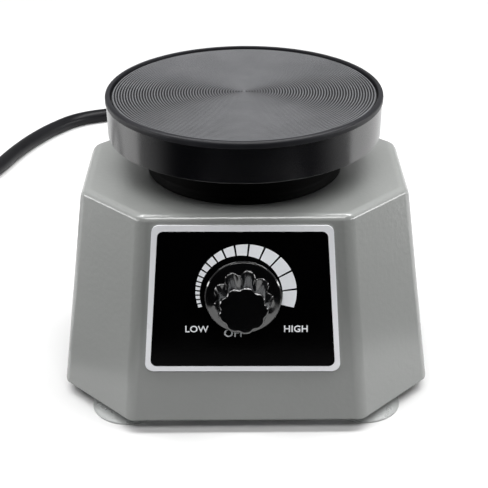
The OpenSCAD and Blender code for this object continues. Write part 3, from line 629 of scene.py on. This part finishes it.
# Each word with its middle and its size, and how much its strokes are thickened, in mm
WORDS = (("LOW", -16.3, -12.8, 3.45), ("OFF", -2.95, -14.4, 4.1), ("HIGH", 18.8, -12.7, 3.45))
WORD_THICKENING = 0.06
# The label is stuck on a little to the left and turned by a hair, as a hand puts it on
STUCK = FACE @ Matrix.Translation((-0.2 * MM, 0, 0)) @ Matrix.Rotation(math.radians(-0.4), 4, "Z")


def trapezoid(low, high, half_low, half_high, radius):
    corners = [(-half_low, low, radius), (half_low, low, radius), (half_high, high, radius),
               (-half_high, high, radius)]
    return [(x * MM, y * MM) for x, y in rounded(corners, 9)]


def on_circle(circle, angle):
    """The point of the circle, in metres, that lies at the angle as seen from the knob's axis."""
    centre, radius = circle
    along = Vector((math.cos(angle), math.sin(angle)))
    out = along.dot(centre)
    return along * (out + math.sqrt(radius ** 2 - centre.length_squared + out ** 2)) * MM


def scale_segments():
    """Light blocks between two circles that aren't concentric, so the band grows towards HIGH."""
    last = SCALE_BLOCKS - 1
    steps = [5.9 if k < EVEN_BLOCKS else 7.2 + 15.2 * ((k - EVEN_BLOCKS) / (last - EVEN_BLOCKS)) ** 1.1
             for k in range(SCALE_BLOCKS)]
    share = SCALE_TURN / sum(steps)
    shapes = []
    angle = SCALE_START
    for step in steps:
        gap = min(0.74 + 0.03 * step, 1.1)
        start, end = angle - gap, angle - step * share + gap
        angle -= step * share
        spots = [math.radians(start + (end - start) * k / 5) for k in range(6)]
        outer = [on_circle(SCALE_OUTER, a) for a in spots]
        inner = [on_circle(SCALE_INNER, a) for a in reversed(spots)]
        shapes.append(outer + inner)
    return shapes


def word(text, x, y, size):
    """A dial word as a thin solid, centred on (x, y) on the panel."""
    data = bpy.data.curves.new(text, "FONT")
    data.body = text
    data.size = size * MM
    data.align_x = "CENTER"
    data.align_y = "CENTER"
    data.offset = WORD_THICKENING * MM
    data.extrude = PRINT / 2 * MM
    data.space_character = 1.06
    data.resolution_u = 4
    holder = bpy.data.objects.new(text, data)
    bpy.context.scene.collection.objects.link(holder)
    mesh = bpy.data.meshes.new_from_object(holder)
    bpy.data.objects.remove(holder)
    mesh.transform(STUCK @ Matrix.Translation((x * MM, y * MM, (STICKER + 1.5 * PRINT) * MM)))
    piece = add_piece("dial_word_" + text.lower(), mesh, "panel_white", "base")


def make_label():
    # Painted light and shade: the border's colour is a touch lighter at its middle and darker towards its top
    centre = middle("dial_label").z
    paint_shading_by_height(looks["panel_border"], (centre, centre + 20 * MM), (1.04, 0.9))
    outline = trapezoid(LABEL_LOW, LABEL_HIGH, 35.0, 31.2, 2.7)
    border = prism("label_border", [outline], 0.0, STICKER * MM, STUCK, edge=0.15 * MM)
    border = add_piece("label_border", border, "panel_border", "base")
    outline = trapezoid(LABEL_LOW + 2.0, LABEL_HIGH - 2.2, 33.0, 29.3, 2.2)
    panel = prism("label_panel", [outline], STICKER * MM, (STICKER + PRINT) * MM, STUCK)
    panel = add_piece("label_panel", panel, "panel_print", "base")
    for piece in (border, panel):
        drill(piece, SHAFT_HOLE_R, -1 * MM, 3 * MM, FACE, 48)
        level_shading(piece)
    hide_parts("dial_label")
    on_panel = STICKER + PRINT
    scale = prism("dial_scale", scale_segments(), on_panel * MM, (on_panel + PRINT) * MM, STUCK)
    scale = add_piece("dial_scale", scale, "panel_white", "base")
    for text, x, y, size in WORDS:
        word(text, x, y, size)


make_label()


# ---------- knob ----------

LOBES = 9
LOBE_TURN = math.radians(78)
# Heights over the housing's front and radii, in mm: the skirt's top, the grip's foot and its tip
SKIRT_TOP = 3.5
GRIP_FOOT_R = 10.3
GRIP_TIP = 15
# The valleys between the lobes run between these radii, and get shallower from foot to tip
VALLEY_IN_R, VALLEY_OUT_R = 7.2, 11.4
VALLEY_DEPTH_FOOT, VALLEY_DEPTH_TIP = 1.75, 0.7


def fluted(angle, radius, height):
    """Broad rounded lobes with narrow valleys, deepest at the grip's foot."""
    r, z = radius / MM, height / MM
    if r < VALLEY_IN_R or r > VALLEY_OUT_R or z < SKIRT_TOP - 0.75:
        return radius
    share = min(max((z - SKIRT_TOP) / (GRIP_TIP - SKIRT_TOP), 0), 1)
    fade = ease((VALLEY_OUT_R - r) / 1.0) * ease((r - VALLEY_IN_R) / 0.7)
    depth = (VALLEY_DEPTH_FOOT + (VALLEY_DEPTH_TIP - VALLEY_DEPTH_FOOT) * share) * fade
    wave = (1 - math.cos(LOBES * (angle - LOBE_TURN))) / 2
    return radius - depth * wave ** 1.9 * MM


def make_knob():
    profile = rounded([
        (0, 13), (5, 13), (5, 5.5), (7.1, 5.5), (7.1, 1.2), (13.5, 1.2, 0.2), (13.5, 2.4, 0.25),
        (13.05, 2.85, 0.25), (VALLEY_OUT_R, 3.2), (GRIP_FOOT_R, SKIRT_TOP, 0.6), (9.9, 6.0), (9.0, 10.5),
        (8.55, GRIP_TIP, 0.9), (6.8, GRIP_TIP), (0, GRIP_TIP)], 6)
    mesh = lathe("fluted_knob", [p * MM for p in profile], 270, FACE, fluted)
    piece = add_piece("fluted_knob", mesh, "knob_black", "knob", 50)
    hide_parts("knob")


make_knob()


# ---------- suction feet ----------

def make_foot(node):
    """A clear suction cup on a short stem that ends at the housing's rim."""
    spot = middle(node)
    rim = RIM_Z / MM
    profile = rounded([
        (0, 1.8), (8, 1.2, 4), (12.6, 0.0, 0.3), (14, 0.0, 0.15), (14, 0.7, 0.3), (11.5, 1.6, 3),
        (8, rim - 2.4, 3), (5.2, rim - 1.2, 0.6), (5, rim), (2, rim), (2, 2.5), (0, 2.5)], 4)
    mesh = lathe(node, [p * MM for p in profile], 96, Matrix.Translation((spot.x, spot.y, 0)))
    piece = add_piece("suction_" + node, mesh, "clear_vinyl", "base", 40)
    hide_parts(node)


for foot in ("front_left_foot", "front_right_foot", "rear_left_foot", "rear_right_foot"):
    make_foot(foot)


# ---------- leaf springs, in halves ----------------------------------------------------

LEAF_HALF_W, LEAF_HALF_T = 6, 0.5
# Along one half from the middle, in mm: its length and the step between its cross-sections, its
# screw holes and their radius
LEAF_LENGTH, LEAF_STEP = 46, 2
LEAF_HOLES, LEAF_HOLE_R = (7, 41), 2.1


def leaf_half(node, hand):
    """One half of a leaf spring as a closed strip in many short lengths."""
    spot = middle(node)
    w, t = LEAF_HALF_W, LEAF_HALF_T
    section = [p * MM for p in rounded([(-w, -t, 0.2), (w, -t, 0.2), (w, t, 0.2), (-w, t, 0.2)], 2)]
    bm = bmesh.new()
    rings = []
    for x in range(0, LEAF_LENGTH + 1, LEAF_STEP):
        rings.append([bm.verts.new((hand * x * MM, spot.y + p.x, spot.z + p.y)) for p in section])
    bm.faces.new(rings[0])
    bm.faces.new(rings[-1])
    for a, b in zip(rings, rings[1:]):
        for k in range(len(section)):
            m = (k + 1) % len(section)
            bm.faces.new((a[k], a[m], b[m], b[k]))
    return mesh_from(node, bm)


def make_leaf(node):
    spot = middle(node)
    for side, hand in (("left", -1), ("right", 1)):
        leaf = bpy.data.objects.new(f"{node}_{side}_half", leaf_half(node, hand))
        leaf.data.materials.append(looks["spring_steel"])
        bpy.context.scene.collection.objects.link(leaf)
        for x in LEAF_HOLES:
            at = Matrix.Translation((hand * x * MM, spot.y, spot.z))
            drill(leaf, LEAF_HOLE_R * MM, -2 * MM, 2 * MM, at, 24)
        level_shading(leaf)
        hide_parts(node)
        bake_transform(leaf)


make_leaf("front_leaf_spring")
make_leaf("rear_leaf_spring")


# ---------- CAD nodes that stay: material by slot, softened edges ----------

slots = {s["node"]: s["material_slot"] for s in frame["record"]["subparts"]}
for name, node in nodes.items():
    node.data.materials.clear()
    node.data.materials.append(looks[slots[name]])
    if not node.hide_render:
        node.data.shade_smooth()
        node.data.set_sharp_from_angle(angle=math.radians(30))


# ---------- floor, lights, world ----------

# The lights' distance from the point that they face, and that point's height
LIGHT_AWAY = 1.3
AIM_Z = 0.06
# The floor's reach, and the near piece's edges: left, right, front and rear
WIDE = 6.0
NEAR_LEFT, NEAR_RIGHT, NEAR_FRONT, NEAR_REAR = -0.10, 0.13, -0.16, 0.005
pale = material("pale_floor", (0.56, 0.56, 0.56), 0.6, 0.01, scale=3)


def area_light(name, size, power, azimuth, elevation):
    """A soft box aimed at the object; azimuth is seen from above, 0 in front and 90 on the right."""
    turn, rise = math.radians(azimuth), math.radians(elevation)
    away = Vector((math.sin(turn) * math.cos(rise), -math.cos(turn) * math.cos(rise), math.sin(rise)))
    data = bpy.data.lights.new(name, "AREA")
    data.shape = "RECTANGLE"
    data.size, data.size_y = size
    data.energy = power
    lamp = bpy.data.objects.new(name, data)
    lamp.location = away * LIGHT_AWAY + Vector((0, 0, AIM_Z))
    lamp.rotation_euler = (-away).to_track_quat("-Z", "Y").to_euler()
    bpy.context.scene.collection.objects.link(lamp)


def make_floor(name, low, high, lights_object=True, mirrored=True):
    """A piece of the pale floor between two corners. A piece may be kept from lighting the object or
    from being mirrored in it, which in a studio takes a black cloth outside the picture."""
    bm = bmesh.new()
    corners = ((low[0], low[1]), (high[0], low[1]), (high[0], high[1]), (low[0], high[1]))
    bm.faces.new([bm.verts.new((x, y, 0)) for x, y in corners])
    mesh = bpy.data.meshes.new(name)
    bm.to_mesh(mesh)
    bm.free()
    mesh.materials.append(pale)
    floor = bpy.data.objects.new(name, mesh)
    bpy.context.scene.collection.objects.link(floor)
    floor.visible_diffuse = lights_object
    floor.visible_glossy = mirrored


def make_world(strength, front, rear):
    """A soft surround, dim on the control panel's side and bright behind and beside the object."""
    world = bpy.data.worlds.new("studio")
    bpy.context.scene.world = world
    world.use_nodes = True
    tree = world.node_tree
    place = tree.nodes.new("ShaderNodeTexCoord")
    split = tree.nodes.new("ShaderNodeSeparateXYZ")
    tree.links.new(place.outputs["Generated"], split.inputs["Vector"])
    back = tree.nodes["Background"]
    back.inputs["Strength"].default_value = strength
    fade = remap(tree, split.outputs["Y"], (-0.5, 0.1), (front, rear), smooth=True)
    tree.links.new(fade, back.inputs["Color"])


make_floor("floor", (-WIDE, NEAR_REAR), (WIDE, WIDE))
make_floor("near_floor", (NEAR_LEFT, NEAR_FRONT), (NEAR_RIGHT, NEAR_REAR), lights_object=False)
for side, low, high in (
        ("left", (-WIDE, NEAR_FRONT), (NEAR_LEFT, NEAR_REAR)),
        ("right", (NEAR_RIGHT, NEAR_FRONT), (WIDE, NEAR_REAR)),
        ("front", (-WIDE, -WIDE), (WIDE, NEAR_FRONT))):
    make_floor(side + "_floor", low, high, lights_object=False, mirrored=False)
# The cord, its tie and its plug aren't mirrored in the plate's skirt
for piece in (cord, nodes["cord_tie"], nodes["plug_body"], nodes["plug_pins"]):
    piece.visible_glossy = False
make_world(strength=0.4, front=0.01, rear=1.0)
# Each light's size in metres, its power in watts, and its azimuth and elevation in degrees
area_light("front_box", (1.0, 0.34), 11.8, 0, 54)
area_light("top_box", (1.5, 0.4), 19, 180, 84)
area_light("left_box", (0.25, 0.9), 8, -88, 58)
area_light("right_box", (0.25, 0.9), 11, 88, 58)
area_light("left_fill", (1.2, 0.2), 6.5, -84, 4)
area_light("right_fill", (1.2, 0.2), 7.5, 84, 4)
bpy.context.scene.view_settings.view_transform = "Standard"
